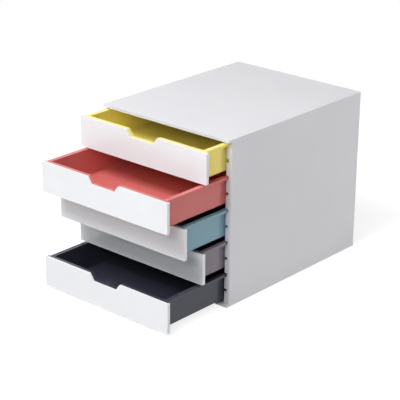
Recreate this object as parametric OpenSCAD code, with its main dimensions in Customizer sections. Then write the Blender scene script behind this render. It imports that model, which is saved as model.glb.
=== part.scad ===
// Desk drawer box with five pull-out trays for A4 and C4 papers.
// X runs to the right seen from the front, Y to the back, Z up.
// The origin is the middle of the base panel's underside.

/* [Casing] */
// Overall width
case_w = 280; // [270:1:320]
// Overall height without the feet
case_h = 291; // [280:1:320]
// Overall depth
case_d = 356; // [350:1:400]
// Thickness of the outer skins and of the edges of top and base
skin_t = 2.5; // [2.2:0.1:3]
// Height of the top panel's edge
top_edge_h = 4.6; // [4:0.1:7]
// Height of the base panel's edge
base_edge_h = 3.4; // [3.2:0.1:6]
// Thickness of the flat webs of top and base
web_t = 2; // [1.6:0.1:2.2]
// Radius of the upright corners
corner_r = 2; // [1:0.1:2.2]
// How far the side walls stand back from the front edges of top and base
front_set_back = 6.8; // [6.7:0.1:9]
// Thickness of the ribs under top and base
rib_t = 1.4; // [1:0.1:2.5]
// Number of pockets between the ribs across the width
rib_bays_x = 4; // [2:2:8]
// Number of pockets between the ribs from front to back
rib_bays_y = 6; // [2:2:10]

/* [Back panel] */
// Thickness of the back panel
back_t = 2.4; // [1.6:0.1:3]
// Depth of the sunk field in its outer face
field_depth = 0.8; // [0.4:0.1:1]
// Width of the frame round the sunk field
field_margin = 22; // [12:1:40]

/* [Side walls] */
// Whole thickness of a side wall, skin and runner panel together
side_t = 11.4; // [11:0.1:14]
// Wall thickness of the runner panels
runner_t = 1.8; // [1.4:0.1:2]
// Height of a groove
groove_h = 5.6; // [5.4:0.1:7]
// Depth of a groove
groove_depth = 5.6; // [5.4:0.1:6]
// Radius at the closed end of a groove
groove_r = 1.5; // [0.5:0.1:2]
// Distance from the front of the side wall to the stop ramps in the grooves
ramp_set_back = 8; // [4:1:20]
// Length of a stop ramp
ramp_l = 6; // [4:0.5:10]
// Height of a stop ramp
ramp_h = 2.2; // [1.6:0.1:2.3]
// Width of a stop ramp
ramp_w = 2; // [1.5:0.1:2.2]

/* [Joints of the casing] */
// Length of the tabs that hold the panels together
tab_l = 30; // [15:1:50]
// Thickness of the tabs of the side walls
tab_t = 1.2; // [0.8:0.1:1.2]
// How far a tab reaches up the wall that carries it
tab_root = 6; // [4:1:12]
// Play between panels that slip into each other
fit_gap = 0.15; // [0.1:0.05:0.2]

/* [Feet] */
// Radius of a foot
foot_r = 9; // [6:0.5:12]
// How far the feet stand proud of the underside
foot_proud = 1; // [0.6:0.1:2.5]
// Bevel round the foot's sole
foot_bevel = 0.6; // [0.2:0.1:0.6]
// Width of the ring that holds a foot
foot_ring = 2.2; // [1.5:0.1:4]
// Distance of a foot's middle from the sides
foot_inset_x = 22; // [18:1:40]
// Distance of a foot's middle from front and back
foot_inset_y = 24; // [18:1:60]

/* [Trays] */
// Wall and floor thickness
tray_wall = 1.8; // [1.4:0.1:2.4]
// Free height between a tray and the drawer under it
tray_clear = 7.2; // [5:0.1:20]
// Play between a tray and the side walls
tray_play = 1.5; // [0.8:0.1:2]
// Free depth behind a closed tray
rear_clear = 3; // [2:0.5:30]
// Radius of the tray's upright rear corners
tray_corner_r = 8; // [4:0.5:20]
// Radius of the tray's lower edges
floor_r = 4; // [3:0.5:10]

/* [Rims] */
// Thickness of the rim's top
rim_t = 1.8; // [1.4:0.1:2]
// Height of the rim with its turned-down lip
rim_h = 4.4; // [4.2:0.1:4.6]
// Thickness of the turned-down lip
lip_t = 1.6; // [1.2:0.1:1.7]
// Width of the rim behind the tray
rear_rim = 4; // [3:0.5:8]
// Width of the rim inside the tray's front wall
front_rim = 3; // [2:0.5:6]
// Play between the lip and the end of its groove
rim_play = 0.7; // [0.5:0.1:1]
// Play between the lip and the groove's floor
seat_gap = 0.3; // [0.2:0.05:0.4]
// Thickness of the stop web inside the rim
stop_web_t = 2.4; // [1.6:0.1:4]

/* [Fronts] */
// Thickness of the coloured front wall of a tray
plate_t = 2.4; // [1.8:0.1:2.5]
// Thickness of a front panel
front_t = 3.4; // [2.6:0.1:3.5]
// Gap over a drawer's coloured front wall
top_gap = 2.3; // [1.8:0.1:3]
// Gap under a drawer's front panel
low_gap = 0.8; // [0.5:0.1:3]
// How far the coloured front wall stands above the front panel
plate_rise = 0.3; // [0.2:0.1:1]
// Radius of a front panel's corners
front_r = 1.5; // [1:0.5:6]
// Thickness of the side edges that a front panel turns back
edge_t = 1.8; // [1.2:0.1:3]
// Play between those edges and the coloured front wall
edge_play = 0.2; // [0.1:0.05:0.4]
// Play between a front and the side walls when closed
close_gap = 0.8; // [0.4:0.1:0.8]
// Side play of a front against the casing's width
front_play = 0.4; // [0.2:0.1:1]
// Diameter of the stakes that hold a front panel
stake_d = 4; // [3:0.5:6]
// Diameter of a stake's flattened head
stake_head_d = 7; // [7:0.1:9]
// Thickness of a stake's flattened head
stake_head_t = 0.9; // [0.6:0.1:1.5]
// Play round a stake
stake_play = 0.2; // [0.1:0.05:0.4]
// Distance of the outer stakes from the drawer's middle
stake_x = 104; // [90:1:108]
// Depth of the stakes below the rim
stake_z = 24; // [18:0.5:28]
// Width of the ledge under the tray's front wall
ledge_w = 200; // [100:1:240]
// Thickness of that ledge
ledge_t = 1.5; // [1:0.1:2.5]

/* [Finger notch] */
// Width at the top edge
notch_w = 68; // [50:1:100]
// Width at the bottom
notch_base_w = 51; // [30:1:60]
// Depth
notch_depth = 12; // [8:0.5:16]
// Radius of its corners
notch_r = 2.5; // [1:0.5:4]

/* [Opening] */
// How far drawer 1, the topmost, stands open
open_1 = 54; // [0:1:240]
// How far drawer 2 stands open
open_2 = 144; // [0:1:240]
// How far drawer 3 stands open
open_3 = 104; // [0:1:240]
// How far drawer 4 stands open
open_4 = 60; // [0:1:240]
// How far drawer 5 stands open
open_5 = 143; // [0:1:240]
// How far a drawer pulls out to its stop
pull_out = 240; // [240:1:250]

/* [Hidden] */
$fa = 6;
$fs = 0.4;
drawers = 5;
opened = [open_1, open_2, open_3, open_4, open_5];
casing_colour = [0.86, 0.86, 0.87];
front_colour = [0.95, 0.95, 0.96];
foot_colour = [0.25, 0.25, 0.26];
tray_colours = [[0.96, 0.89, 0.50], [0.83, 0.45, 0.45], [0.52, 0.66, 0.73],
    [0.53, 0.49, 0.53], [0.22, 0.22, 0.27]];

// Places shared by the panels
half_w = case_w / 2;
half_d = case_d / 2;
top_z = case_h - top_edge_h;
pocket_h = base_edge_h - web_t;
hollow_h = top_edge_h - web_t;
side_front = -half_d + front_set_back;
skin_x = half_w - skin_t;
side_x = half_w - side_t;
tab_x = skin_x - fit_gap - tab_t;
back_y = half_d - skin_t - fit_gap - back_t;
runner_back = back_y - fit_gap;
tab_ys = [side_front + 60, (side_front + back_y) / 2, back_y - 60];
back_tab_xs = [-case_w / 3.5, 0, case_w / 3.5];

// Places shared by drawers and runners, in which z counts from a drawer's rim
pitch = (top_z - base_edge_h) / drawers;
rim_top = top_z - top_gap;
groove_floor = -rim_h - seat_gap;
groove_x = side_x + groove_depth;
rim_x = groove_x - rim_play;
tray_x = side_x - tray_play;
tray_h = pitch - tray_clear;
closed_y = side_front - close_gap;
tray_l = back_y - rear_clear - rear_rim - closed_y;
ramp_end = side_front + ramp_set_back + ramp_l;
ramp_x = side_x + (rim_x - lip_t - side_x - ramp_w) / 2;
stop_y = ramp_end + pull_out + seat_gap - closed_y;
front_w = case_w - 2 * front_play;
plate_w = front_w - 2 * (edge_t + edge_play);
front_h = pitch - top_gap - low_gap - plate_rise;

module plan(x0, x1, y0, y1, r) {
    translate([x0 + r, y0]) square([x1 - x0 - 2 * r, y1 - y0]);
    translate([x0, y0 + r]) square([x1 - x0, y1 - y0 - 2 * r]);
    for (x = [x0 + r, x1 - r], y = [y0 + r, y1 - r]) translate([x, y]) circle(r);
}

module casing_plan() plan(-half_w, half_w, -half_d, half_d, corner_r);

// Turns a drawing of width and height into a plate whose back lies at y = 0
module upright(t) rotate([90, 0, 0]) linear_extrude(t) children();

module rib_grid(x, y0, y1) {
    for (i = [1 : rib_bays_x - 1])
        translate([-x + 2 * x * i / rib_bays_x - rib_t / 2, y0]) square([rib_t, y1 - y0]);
    for (i = [1 : rib_bays_y - 1])
        translate([-x, y0 + (y1 - y0) * i / rib_bays_y - rib_t / 2]) square([2 * x, rib_t]);
}

// Flat web with a turned-down edge and ribs between the edge's walls
module top_panel() color(casing_colour) translate([0, 0, top_z]) {
    translate([0, 0, hollow_h]) linear_extrude(web_t) casing_plan();
    linear_extrude(hollow_h) difference() {
        casing_plan();
        translate([-skin_x, skin_t - half_d]) square([2 * skin_x, case_d - 2 * skin_t]);
    }
    translate([0, 0, fit_gap]) linear_extrude(hollow_h)
        rib_grid(tab_x - fit_gap, side_front, back_y - fit_gap);
}

module foot_places() {
    for (x = [-1, 1], y = [-1, 1])
        translate([x * (half_w - foot_inset_x), y * (half_d - foot_inset_y)]) children();
}

// Web with a ribbed underside, rings for the feet and slots for the tabs
module base_panel() color(casing_colour) {
    difference() {
        translate([0, 0, pocket_h]) linear_extrude(web_t) casing_plan();
        translate([0, 0, -1]) linear_extrude(base_edge_h + 2) tab_slots();
    }
    linear_extrude(pocket_h) difference() {
        casing_plan();
        difference() {
            translate([-skin_x, skin_t - half_d]) square([2 * skin_x, case_d - 2 * skin_t]);
            rib_grid(skin_x, skin_t - half_d, half_d - skin_t);
            foot_places() circle(foot_r + fit_gap + foot_ring);
        }
        foot_places() circle(foot_r + fit_gap);
        tab_slots();
    }
}

module tab_slots() {
    for (s = [0, 1], y = tab_ys) mirror([s, 0])
        translate([tab_x - fit_gap, y - tab_l / 2 - fit_gap])
            square([tab_t + 2 * fit_gap, tab_l + 2 * fit_gap]);
    for (x = back_tab_xs)
        translate([x - tab_l / 2 - fit_gap, back_y - fit_gap])
            square([tab_l + 2 * fit_gap, back_t + 2 * fit_gap]);
}

// Soft disc pressed into its ring
module foot(x, y) color(foot_colour)
    translate([x * (half_w - foot_inset_x), y * (half_d - foot_inset_y), -foot_proud])
        rotate_extrude() polygon([[0, 0], [foot_r - foot_bevel, 0], [foot_r, foot_bevel],
            [foot_r, foot_proud + pocket_h], [0, foot_proud + pocket_h]]);

// Plate with a sunk outer field, held behind the top's edge and by tabs in the base
module back_panel() color(casing_colour) difference() {
    union() {
        translate([0, back_y + back_t, base_edge_h]) upright(back_t)
            translate([-skin_x + fit_gap, 0])
                square([2 * (skin_x - fit_gap), top_z - base_edge_h + hollow_h - fit_gap]);
        for (x = back_tab_xs)
            translate([x - tab_l / 2, back_y, fit_gap]) cube([tab_l, back_t, base_edge_h]);
    }
    translate([0, back_y + back_t + 1, base_edge_h]) upright(field_depth + 1)
        plan(-skin_x + field_margin, skin_x - field_margin,
            field_margin, top_z - base_edge_h - field_margin, corner_r * 3);
}

// Outer skin of a side wall with its tabs
module side_panel() color(casing_colour) {
    translate([0, 0, base_edge_h]) linear_extrude(top_z - base_edge_h) intersection() {
        plan(-half_w, half_w, side_front, half_d, corner_r);
        translate([skin_x, side_front]) square([skin_t, half_d - side_front]);
    }
    for (y = tab_ys) {
        translate([tab_x, y - tab_l / 2, fit_gap]) cube([tab_t, tab_l, base_edge_h + tab_root]);
        translate([tab_x, y - tab_l / 2, top_z - tab_root])
            cube([tab_t, tab_l, tab_root + hollow_h - fit_gap]);
        for (z = [base_edge_h, top_z - tab_root])
            translate([tab_x, y - tab_l / 2, z]) cube([tab_t + 2 * fit_gap, tab_l, tab_root]);
    }
}

// Outline of the grooves, open towards the middle of the casing
module groove_plan() translate([side_x - 1, 0]) {
    square([groove_depth + 1 - groove_r, groove_h]);
    translate([0, groove_r]) square([groove_depth + 1, groove_h - 2 * groove_r]);
    for (y = [groove_r, groove_h - groove_r])
        translate([groove_depth + 1 - groove_r, y]) circle(groove_r);
}

function groove_z(i) = rim_top + groove_floor - i * pitch / 2;

// Corrugated panel with two grooves for each drawer's height, closed at both ends
module runner() color(casing_colour) {
    low = base_edge_h;
    high = top_z;
    depth = runner_back - side_front;
    translate([0, runner_back, 0]) upright(depth) difference() {
        union() {
            translate([side_x, low]) square([runner_t, high - low]);
            for (z = [low, high - runner_t])
                translate([side_x, z]) square([tab_x - fit_gap - side_x, runner_t]);
            for (i = [0 : 2 * drawers - 1])
                translate([side_x, groove_z(i) - runner_t])
                    square([groove_depth + runner_t, min(groove_h + 2 * runner_t,
                        high - groove_z(i) + runner_t)]);
        }
        for (i = [0 : 2 * drawers - 1]) translate([0, groove_z(i)]) groove_plan();
    }
    for (y = [side_front + runner_t, runner_back])
        translate([0, y, 0]) upright(runner_t) difference() {
            translate([side_x, low]) square([skin_x - fit_gap - side_x, high - low]);
            for (i = [0 : 2 * drawers - 1]) translate([0, groove_z(i)]) groove_plan();
        }
    for (i = [0 : 2 * drawers - 1])
        translate([ramp_x, ramp_end - ramp_l, groove_z(i)]) stop_ramp();
}

// Wedge that lets a rim slip in and catches its stop web on the way out
module stop_ramp() rotate([90, 0, 90]) linear_extrude(ramp_w)
    polygon([[0, -runner_t / 2], [ramp_l, -runner_t / 2], [ramp_l, ramp_h],
        [ramp_l * 0.7, ramp_h], [0, 0]]);

// Takes the sharp outer corners off a drawing
module eased() offset(r = notch_r, $fn = 32) offset(delta = -notch_r) children();

// Area from a height y up to a height top, as wide as the notch and more to each side
module notch_field(more, y, top)
    translate([-notch_w / 2 - more, y]) square([notch_w + 2 * more, top - y]);

// Trapezoid cut into the top edge of the fronts, with rounded corners and lips
module notch_plan() difference() {
    notch_field(2 * notch_r, -notch_depth - notch_r, notch_depth);
    eased() difference() {
        notch_field(4 * notch_r, -notch_depth - 3 * notch_r, 0);
        eased() polygon([[-notch_base_w / 2, -notch_depth], [notch_base_w / 2, -notch_depth],
            [notch_w / 2, 0], [notch_w / 2, notch_depth], [-notch_w / 2, notch_depth],
            [-notch_w / 2, 0]]);
    }
}

// Front outline with rounded outer corners and the notch
module front_plan(w, h) difference() {
    plan(-w / 2, w / 2, -h, 0, front_r);
    notch_plan();
}

module stake_places() {
    for (x = [-stake_x, -notch_w / 2 - 8, notch_w / 2 + 8, stake_x]) translate([x, -stake_z]) children();
}

// Tray body between a rounded floor edge and rounded rear corners
module tray_solid(inset, top) intersection() {
    x = tray_x - inset;
    depth = tray_h - inset;
    r = floor_r - inset;
    translate([0, tray_l, 0]) upright(tray_l) difference() {
        plan(-x, x, -depth, r * 2, r);
        translate([-x - 1, top]) square([2 * x + 2, r * 2]);
    }
    translate([0, 0, -tray_h - 1]) linear_extrude(tray_h + 3)
        plan(-x, x, -tray_corner_r * 2, tray_l - inset, tray_corner_r - inset);
    translate([-x - 1, 0, 0]) rotate([90, 0, 90]) linear_extrude(2 * x + 2)
        plan(-floor_r * 2, tray_l - inset, -depth, floor_r * 2, r);
}

module rim_plan(inset) plan(inset - rim_x, rim_x - inset, -tray_corner_r * 2,
    tray_l + rear_rim - inset, tray_corner_r + rear_rim / 2 - inset);

// Rim inside the front wall, which follows its top edge down into the notch
module front_rim_plan() intersection() {
    difference() {
        front_plan(plate_w, tray_h);
        offset(delta = -rim_t) front_plan(plate_w, tray_h);
    }
    translate([-tray_x + tray_wall / 2, -notch_depth - rim_h])
        square([2 * tray_x - tray_wall, notch_depth + rim_h]);
}

// Tray with a wide front wall, a turned-down rim on three sides and its stop webs
module tray(i) color(tray_colours[i]) translate([0, closed_y - opened[i], rim_top - i * pitch]) {
    difference() {
        union() {
            tray_solid(0, 0);
            intersection() {
                translate([0, 0, -rim_h]) linear_extrude(rim_h) difference() {
                    rim_plan(0);
                    rim_plan(lip_t);
                }
                translate([-half_w, 0, -rim_h]) cube([case_w, case_d, rim_h]);
            }
            intersection() {
                translate([0, 0, -rim_t]) linear_extrude(rim_t) rim_plan(lip_t / 2);
                translate([-half_w, 0, -rim_h]) cube([case_w, case_d, rim_h]);
            }
            for (s = [0, 1]) mirror([s, 0, 0]) translate([tray_x - tray_wall / 2, stop_y, -rim_h])
                cube([rim_x - lip_t / 2 - tray_x + tray_wall / 2, stop_web_t, rim_h - rim_t / 2]);
        }
        tray_solid(tray_wall, 1);
    }
    difference() {
        upright(plate_t) front_plan(plate_w, tray_h);
        translate([0, 1, 0]) upright(plate_t + 2) stake_places() circle(d = stake_d + 2 * stake_play);
    }
    translate([0, front_rim, 0]) upright(front_rim + plate_t / 2) front_rim_plan();
}

// Front panel whose side edges turn back round the tray's front wall, with a ledge under
// that wall and stakes through it
module front(i) color(front_colour)
    translate([0, closed_y - opened[i] - plate_t, rim_top - i * pitch]) {
        upright(front_t) translate([0, -plate_rise]) front_plan(front_w, front_h);
        translate([0, plate_t, 0]) upright(plate_t + front_t / 2) {
            stake_places() circle(d = stake_d);
            translate([-ledge_w / 2, -tray_h - seat_gap - ledge_t]) square([ledge_w, ledge_t]);
            difference() {
                translate([0, -plate_rise]) front_plan(front_w, front_h);
                translate([edge_t - front_w / 2, -pitch]) square([front_w - 2 * edge_t, 2 * pitch]);
            }
        }
        translate([0, plate_t + seat_gap / 2 + stake_head_t, 0]) upright(stake_head_t + seat_gap)
            stake_places() circle(d = stake_d);
        translate([0, plate_t + seat_gap / 2 + stake_head_t, 0]) upright(stake_head_t)
            stake_places() circle(d = stake_head_d);
    }

top_panel();
base_panel();
back_panel();
mirror([1, 0, 0]) side_panel();  // side_panel_left
side_panel();  // side_panel_right
mirror([1, 0, 0]) runner();  // runner_left
runner();  // runner_right
foot(-1, -1);  // foot_front_left
foot(1, -1);  // foot_front_right
foot(-1, 1);  // foot_rear_left
foot(1, 1);  // foot_rear_right
tray(0);  // tray_1
front(0);  // front_1
tray(1);  // tray_2
front(1);  // front_2
tray(2);  // tray_3
front(2);  // front_3
tray(3);  // tray_4
front(3);  // front_4
tray(4);  // tray_5
front(4);  // front_5
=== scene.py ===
import math
import bmesh
import bpy
from mathutils import Matrix, Vector

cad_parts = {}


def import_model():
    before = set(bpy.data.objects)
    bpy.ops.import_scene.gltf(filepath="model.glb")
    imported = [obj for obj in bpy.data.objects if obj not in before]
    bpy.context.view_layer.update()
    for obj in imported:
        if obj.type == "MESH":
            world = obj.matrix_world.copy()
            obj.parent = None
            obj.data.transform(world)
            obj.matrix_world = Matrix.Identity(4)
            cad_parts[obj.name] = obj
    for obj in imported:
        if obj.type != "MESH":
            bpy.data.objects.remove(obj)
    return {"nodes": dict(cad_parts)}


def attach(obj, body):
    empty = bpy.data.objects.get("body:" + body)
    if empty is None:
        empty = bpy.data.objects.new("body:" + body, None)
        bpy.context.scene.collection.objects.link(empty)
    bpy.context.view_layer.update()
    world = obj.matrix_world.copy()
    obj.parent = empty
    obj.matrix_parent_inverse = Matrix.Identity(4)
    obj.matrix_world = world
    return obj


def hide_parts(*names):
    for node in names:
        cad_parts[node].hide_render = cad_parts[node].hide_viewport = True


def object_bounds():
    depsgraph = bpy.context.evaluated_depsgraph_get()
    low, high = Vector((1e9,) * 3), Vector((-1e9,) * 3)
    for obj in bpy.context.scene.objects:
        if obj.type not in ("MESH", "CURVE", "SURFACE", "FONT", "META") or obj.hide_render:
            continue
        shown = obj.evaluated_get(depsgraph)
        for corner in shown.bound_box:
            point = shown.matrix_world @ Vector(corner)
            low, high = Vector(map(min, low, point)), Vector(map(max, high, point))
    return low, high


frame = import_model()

scene = bpy.context.scene
nodes = frame["nodes"]
cad_bounds = [[float(v) for v in corner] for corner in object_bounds()]


# Camera: place in metres, turns in radians, lens and sensor in millimetres

EYE = (1.51567, -1.82055, 1.03544)
YAW = 0.71835
PITCH = -0.37553
ROLL = 0.00995
LENS = 129.71
SENSOR_WIDTH = 36
CLIP_END = 50


def place_camera():
    forward = Vector((-math.sin(YAW) * math.cos(PITCH),
                      math.cos(YAW) * math.cos(PITCH),
                      math.sin(PITCH)))
    level = Vector((math.cos(YAW), math.sin(YAW), 0))
    upright = level.cross(forward)
    right = level * math.cos(ROLL) + upright * math.sin(ROLL)
    up = upright * math.cos(ROLL) - level * math.sin(ROLL)
    data = bpy.data.cameras.new("camera")
    data.sensor_width = SENSOR_WIDTH
    data.lens = LENS
    data.clip_end = CLIP_END
    camera = bpy.data.objects.new("camera", data)
    scene.collection.objects.link(camera)
    turn = Matrix((right, up, -forward)).transposed().to_4x4()
    camera.matrix_world = Matrix.Translation(EYE) @ turn
    scene.camera = camera


place_camera()


# Node helpers

def new_material(name):
    material = bpy.data.materials.new(name)
    material.use_nodes = True
    tree = material.node_tree
    tree.nodes.clear()
    return material, tree


def add(tree, kind, **inputs):
    """A new node, with the values of its sockets given by name."""
    made = tree.nodes.new(kind)
    for key, value in inputs.items():
        made.inputs[key.replace("_", " ")].default_value = value
    return made


def mix_shaders(tree, factor, at_zero, at_one):
    made = tree.nodes.new("ShaderNodeMixShader")
    tree.links.new(factor, made.inputs[0])
    tree.links.new(at_zero, made.inputs[1])
    tree.links.new(at_one, made.inputs[2])
    return made.outputs[0]


# Plastics: each noise is given as scale, detail and roughness, each depth in metres

CLOUDS = (9, 3, 0.55)
WIPES = (42, 5, 0.62)
WAVES = (7, 1, 0.55)
GRAIN = (900, 2, 0.55)
NOISE_LOW = 0.25
NOISE_HIGH = 0.75
DARKEST = 0.975
LIGHTEST = 1.02
WAVE_DEPTH = 0.0012
GRAIN_DEPTH = 0.00006
SCATTER_DEPTH = 0.0012
PLASTIC_IOR = 1.48


def noise(tree, coord, scale, detail, rough):
    made = add(tree, "ShaderNodeTexNoise", Scale=scale, Detail=detail, Roughness=rough)
    tree.links.new(coord, made.inputs["Vector"])
    return made.outputs["Fac"]


def spread(tree, value, low, high):
    """A noise's value, stretched to the range from low to high."""
    made = add(tree, "ShaderNodeMapRange", From_Min=NOISE_LOW, From_Max=NOISE_HIGH,
               To_Min=low, To_Max=high)
    tree.links.new(value, made.inputs["Value"])
    return made.outputs["Result"]


def cloudy(tree, coord, colour):
    clouds = spread(tree, noise(tree, coord, *CLOUDS), 0, 1)
    made = tree.nodes.new("ShaderNodeMix")
    made.data_type = "RGBA"
    made.inputs["A"].default_value = (*[c * DARKEST for c in colour], 1)
    made.inputs["B"].default_value = (*[min(c * LIGHTEST, 1) for c in colour], 1)
    tree.links.new(clouds, made.inputs["Factor"])
    return made.outputs["Result"]


def uneven(tree, coord, rough, play):
    return spread(tree, noise(tree, coord, *WIPES), rough - play, rough + play)


def rippled(tree, coord, ripple, grain):
    waves = add(tree, "ShaderNodeBump", Strength=ripple, Distance=WAVE_DEPTH)
    tree.links.new(noise(tree, coord, *WAVES), waves.inputs["Height"])
    fine = add(tree, "ShaderNodeBump", Strength=grain, Distance=GRAIN_DEPTH)
    tree.links.new(noise(tree, coord, *GRAIN), fine.inputs["Height"])
    tree.links.new(waves.outputs["Normal"], fine.inputs["Normal"])
    return fine.outputs["Normal"]


def plastic(name, colour, rough, play, ripple, grain, gloss=0.5, scatter=None):
    """Moulded plastic: faint cloudiness, uneven gloss, flow ripples and a fine grain.

    rough and play are the middle and the half range of its roughness, ripple and grain the
    strengths of its bumps. scatter is the share of light that goes under the surface, and
    how far its red, green and blue spread there.
    """
    material, tree = new_material(name)
    out = tree.nodes.new("ShaderNodeOutputMaterial")
    shader = tree.nodes.new("ShaderNodeBsdfPrincipled")
    coord = tree.nodes.new("ShaderNodeTexCoord").outputs["Object"]
    tree.links.new(cloudy(tree, coord, colour), shader.inputs["Base Color"])
    tree.links.new(uneven(tree, coord, rough, play), shader.inputs["Roughness"])
    tree.links.new(rippled(tree, coord, ripple, grain), shader.inputs["Normal"])
    shader.inputs["IOR"].default_value = PLASTIC_IOR
    shader.inputs["Specular IOR Level"].default_value = gloss
    if scatter:
        share, reach = scatter
        shader.inputs["Subsurface Weight"].default_value = share
        shader.inputs["Subsurface Radius"].default_value = reach
        shader.inputs["Subsurface Scale"].default_value = SCATTER_DEPTH
    tree.links.new(shader.outputs["BSDF"], out.inputs["Surface"])
    return material


def srgb(r, g, b):
    """The linear values of a screen colour, whose channels run from 0 to 255."""
    return [(c / 255 / 12.92) if c <= 10 else ((c / 255 + 0.055) / 1.055) ** 2.4
            for c in (r, g, b)]


def tray_plastic(name, colour, scatter, rough=0.16, gloss=0.3):
    return plastic("tray_%s_plastic" % name, colour, rough, play=0.03, ripple=0.07, grain=0.08,
                   gloss=gloss, scatter=scatter)


CASING = plastic("casing_plastic", srgb(222, 222, 226),
                 rough=0.34, play=0.05, ripple=0.10, grain=0.25, gloss=0.4)
# The runners are the casing's own plastic, drawn a few levels greyer: painted shade on the
# front strip beside the drawers.
RUNNER_PAINTED_SHADE = plastic("runner_plastic_painted_shade", srgb(216, 216, 220),
                 rough=0.40, play=0.05, ripple=0.10, grain=0.30)
WHITE = plastic("front_plastic", srgb(232, 233, 236),
                rough=0.15, play=0.03, ripple=0.06, grain=0.05)
RUBBER = plastic("foot_rubber", srgb(70, 70, 72),
                 rough=0.75, play=0.08, ripple=0.20, grain=0.9)
TRAYS = [
    tray_plastic("yellow", srgb(254, 234, 127), (0.15, (1.0, 0.7, 0.3))),
    tray_plastic("coral", srgb(212, 115, 112), (0.15, (1.0, 0.2, 0.4))),
    tray_plastic("blue", srgb(133, 169, 185), (0.2, (0.6, 0.8, 1.0))),
    tray_plastic("taupe", srgb(134, 124, 134), (0.1, (1.0, 0.9, 0.9))),
    tray_plastic("anthracite", srgb(57, 58, 72), None, rough=0.18, gloss=0.35),
]


# Pieces: the moulded form of each CAD node, with its sharp edges rounded. Radii in metres.

TOP_RADIUS = 0.0009
PANEL_RADIUS = 0.0006
SIDE_RADIUS = 0.0005
RUNNER_RADIUS = 0.00035
FOOT_RADIUS = 0.0002
TRAY_RADIUS = 0.0006
FRONT_RADIUS = 0.0011
SHARP_ANGLE = math.radians(28)
FLAT_ANGLE = math.radians(0.4)
WELD_DISTANCE = 2e-6


def moulded_mesh(node, material):
    """The node's mesh with its points joined and its flat faces whole, shaded smooth."""
    mesh = bpy.data.meshes.new(node + "_moulded")
    form = bmesh.new()
    form.from_mesh(nodes[node].data)
    bmesh.ops.remove_doubles(form, verts=form.verts, dist=WELD_DISTANCE)
    bmesh.ops.dissolve_limit(form, angle_limit=FLAT_ANGLE, verts=form.verts, edges=form.edges)
    bmesh.ops.recalc_face_normals(form, faces=form.faces)
    for face in form.faces:
        face.smooth = True
    form.to_mesh(mesh)
    form.free()
    for extra in [a.name for a in mesh.attributes if a.name.startswith("custom")]:
        mesh.attributes.remove(mesh.attributes[extra])
    mesh.materials.clear()
    mesh.materials.append(material)
    return mesh


def moulded(node, body, material, radius, segments=2):
    piece = bpy.data.objects.new(node + "_moulded", moulded_mesh(node, material))
    scene.collection.objects.link(piece)
    bevel = piece.modifiers.new("rounded_edges", "BEVEL")
    bevel.width = radius
    bevel.segments = segments
    bevel.limit_method = "ANGLE"
    bevel.angle_limit = SHARP_ANGLE
    bevel.harden_normals = True
    bevel.use_clamp_overlap = True
    bevel.miter_outer = "MITER_ARC"
    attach(piece, body)
    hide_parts(node)


moulded("top_panel", "casing", CASING, TOP_RADIUS, segments=3)
moulded("base_panel", "casing", CASING, PANEL_RADIUS)
moulded("back_panel", "casing", CASING, PANEL_RADIUS)
for side in ("left", "right"):
    moulded("side_panel_" + side, "casing", CASING, SIDE_RADIUS)
    moulded("runner_" + side, "casing", RUNNER_PAINTED_SHADE, RUNNER_RADIUS)
    for end in ("front", "rear"):
        moulded("foot_%s_%s" % (end, side), "casing", RUBBER, FOOT_RADIUS)
for number, tray_material in enumerate(TRAYS, 1):
    drawer = "drawer_%d" % number
    moulded("tray_%d" % number, drawer, tray_material, TRAY_RADIUS)
    moulded("front_%d" % number, drawer, WHITE, FRONT_RADIUS, segments=3)


# Floor and background: white where they are seen, and dimmer in the light that they give

FLOOR_REACH = 9
FLOOR_GAP = 0.00005
FLOOR_GLOW = 0.8
FLOOR_GREY = 0.46
FADE_START = 0.5
FADE_END = 1.1
AMBIENT = 0.04
PURE_WHITE = (1, 1, 1, 1)


def seen_directly(tree):
    """1 for rays from the camera, and for those that a gloss or a clear material sends on."""
    path = tree.nodes.new("ShaderNodeLightPath")
    value = path.outputs["Is Camera Ray"]
    for other in ("Is Glossy Ray", "Is Transmission Ray"):
        either = tree.nodes.new("ShaderNodeMath")
        either.operation = "MAXIMUM"
        tree.links.new(value, either.inputs[0])
        tree.links.new(path.outputs[other], either.inputs[1])
        value = either.outputs[0]
    return value


def distance_fade(tree):
    """0 near the origin, 1 far from it."""
    place = tree.nodes.new("ShaderNodeTexCoord").outputs["Object"]
    away = tree.nodes.new("ShaderNodeVectorMath")
    away.operation = "LENGTH"
    tree.links.new(place, away.inputs[0])
    fade = add(tree, "ShaderNodeMapRange", From_Min=FADE_START, From_Max=FADE_END)
    fade.interpolation_type = "SMOOTHSTEP"
    tree.links.new(away.outputs["Value"], fade.inputs["Value"])
    return fade.outputs["Result"]


def floor_paper():
    """Paper that glows and takes a shadow near the object, and is plain white farther out."""
    material, tree = new_material("floor_paper")
    out = tree.nodes.new("ShaderNodeOutputMaterial")
    grey = (FLOOR_GREY, FLOOR_GREY, FLOOR_GREY, 1)
    glow = add(tree, "ShaderNodeEmission", Color=PURE_WHITE, Strength=FLOOR_GLOW)
    matt = add(tree, "ShaderNodeBsdfDiffuse", Color=grey)
    white = add(tree, "ShaderNodeEmission", Color=PURE_WHITE, Strength=1.0)
    near = tree.nodes.new("ShaderNodeAddShader")
    tree.links.new(glow.outputs[0], near.inputs[0])
    tree.links.new(matt.outputs[0], near.inputs[1])
    seen = mix_shaders(tree, distance_fade(tree), near.outputs[0], white.outputs[0])
    surface = mix_shaders(tree, seen_directly(tree), matt.outputs[0], seen)
    tree.links.new(surface, out.inputs["Surface"])
    return material


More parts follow.
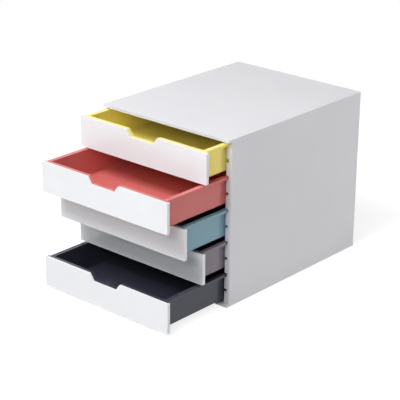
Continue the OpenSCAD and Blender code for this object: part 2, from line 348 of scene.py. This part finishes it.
def floor():
    mesh = bpy.data.meshes.new("floor")
    z = cad_bounds[0][2] - FLOOR_GAP
    signs = ((-1, -1), (1, -1), (1, 1), (-1, 1))
    corners = [(x * FLOOR_REACH, y * FLOOR_REACH, z) for x, y in signs]
    mesh.from_pydata(corners, [], [(0, 1, 2, 3)])
    mesh.materials.append(floor_paper())
    ground = bpy.data.objects.new("floor", mesh)
    scene.collection.objects.link(ground)


def world():
    made = bpy.data.worlds.new("studio")
    scene.world = made
    made.use_nodes = True
    tree = made.node_tree
    tree.nodes.clear()
    out = tree.nodes.new("ShaderNodeOutputWorld")
    ambient = add(tree, "ShaderNodeBackground", Color=PURE_WHITE, Strength=AMBIENT)
    white = add(tree, "ShaderNodeBackground", Color=PURE_WHITE, Strength=1.0)
    light = mix_shaders(tree, seen_directly(tree), ambient.outputs[0], white.outputs[0])
    tree.links.new(light, out.inputs["Surface"])


floor()
world()


# Lamps: place, the point it is aimed at, width and height, all in metres

MIDDLE = (0, 0, 0.15)
FRONTS = (0, -0.1, 0.15)
OPEN_DRAWERS = (0, -0.15, 0.15)
RIGHT_REAR = (0.1, 0.1, 0.15)


def lamp(name, place, target, width, height, watts):
    data = bpy.data.lights.new(name, "AREA")
    data.shape = "RECTANGLE"
    data.size = width
    data.size_y = height
    data.energy = watts
    made = bpy.data.objects.new(name, data)
    scene.collection.objects.link(made)
    made.location = place
    aim = Vector(target) - Vector(place)
    made.rotation_euler = aim.to_track_quat("-Z", "Y").to_euler()


lamp("key_high", (-0.1, -1.7, 2.3), OPEN_DRAWERS, 1.0, 1.0, watts=57)
lamp("over_front", (0, -1.1, 2.7), FRONTS, 1.0, 1.0, watts=8.5)
lamp("camera_fill", (1.0, -2.5, 1.6), FRONTS, 1.2, 0.9, watts=24)
lamp("high_left", (-1.6, -1.2, 2.0), FRONTS, 1.0, 1.0, watts=8.5)
lamp("right_fill", (2.5, 0.2, 1.3), MIDDLE, 2.4, 1.8, watts=8)
# The last three stand low, so that the glossy top doesn't mirror them
lamp("left_fill", (-1.35, -0.05, 0.2), MIDDLE, 0.8, 0.3, watts=5.5)
lamp("rear_fill", (1.7, 1.1, 0.2), RIGHT_REAR, 0.8, 0.3, watts=12.5)
lamp("back_fill", (0.5, 2.4, 0.3), MIDDLE, 1.2, 0.5, watts=5)

scene.view_settings.view_transform = "Standard"
